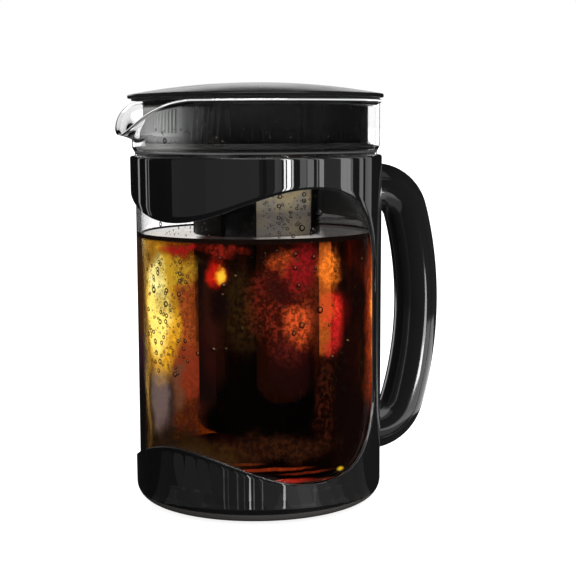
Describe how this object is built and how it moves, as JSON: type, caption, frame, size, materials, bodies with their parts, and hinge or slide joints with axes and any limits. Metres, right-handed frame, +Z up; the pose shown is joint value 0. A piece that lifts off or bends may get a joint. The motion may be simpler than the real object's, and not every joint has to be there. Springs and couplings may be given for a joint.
{
  "type": "cold brew coffee maker",
  "caption": "Glass carafe with a pour spout in a black wave-cut sleeve with a C handle, closed by a domed lid that carries a mesh brewing filter.",
  "frame": {"origin": "centre of the non-slip pad's underside, on the carafe's axis", "axes": "+Z up along the carafe, +X towards the handle, -X towards the spout"},
  "size_m": [0.1738, 0.1286, 0.2114],
  "materials": {
    "sleeve_black": "gloss moulded black with faint flow waviness",
    "handle_black": "gloss moulded black, lightly worn at the grip",
    "soft_grey": "matt non-slip pad",
    "soft_clear": "milky silicone",
    "carafe_glass": "clear blown borosilicate",
    "lid_black": "satin gloss dome",
    "plug_black": "satin moulded",
    "strainer_grey": "satin moulded with fine slots",
    "soft_black": "soft silicone",
    "filter_black": "satin moulded",
    "filter_mesh": "fine woven nylon mesh"
  },
  "bodies": {
    "holder": {"outer_sleeve": "sleeve_black", "handle_body": "handle_black", "handle_cover": "handle_black", "foot_pad": "soft_grey", "base_cushion": "soft_clear"},
    "carafe": {"glass_carafe": "carafe_glass"},
    "lid_ring": {"lid_seal": "soft_black"},
    "lid": {"lid_cover": "lid_black", "lid_plug": "plug_black", "pour_strainer": "strainer_grey", "lid_gasket": "soft_black"},
    "filter": {"filter_collar": "filter_black", "collar_seal": "soft_black", "filter_frame": "filter_black", "filter_mesh_1": "filter_mesh", "filter_mesh_2": "filter_mesh", "filter_mesh_3": "filter_mesh", "filter_mesh_4": "filter_mesh"},
    "filter_base": {"filter_cap": "filter_black", "cap_seal": "soft_black"}
  },
  "joints": [
    {"name": "carafe_lift", "type": "slide", "parent": "holder", "child": "carafe", "axis": [0, 0, 1], "range_m": [0, 0.18]},
    {"name": "lid_lift", "type": "slide", "parent": "carafe", "child": "lid_ring", "axis": [0, 0, 1], "range_m": [0, 0.185]},
    {"name": "lid_turn", "type": "hinge", "parent": "lid_ring", "child": "lid", "pos_m": [0, 0, 0.18], "axis": [0, 0, 1], "continuous": true},
    {"name": "filter_turn", "type": "hinge", "parent": "lid", "child": "filter", "pos_m": [0, 0, 0.175], "axis": [0, 0, 1], "range_deg": [-40, 0]},
    {"name": "filter_cap_turn", "type": "hinge", "parent": "filter", "child": "filter_base", "pos_m": [0, 0, 0.045], "axis": [0, 0, 1], "range_deg": [-60, 0]}
  ]
}
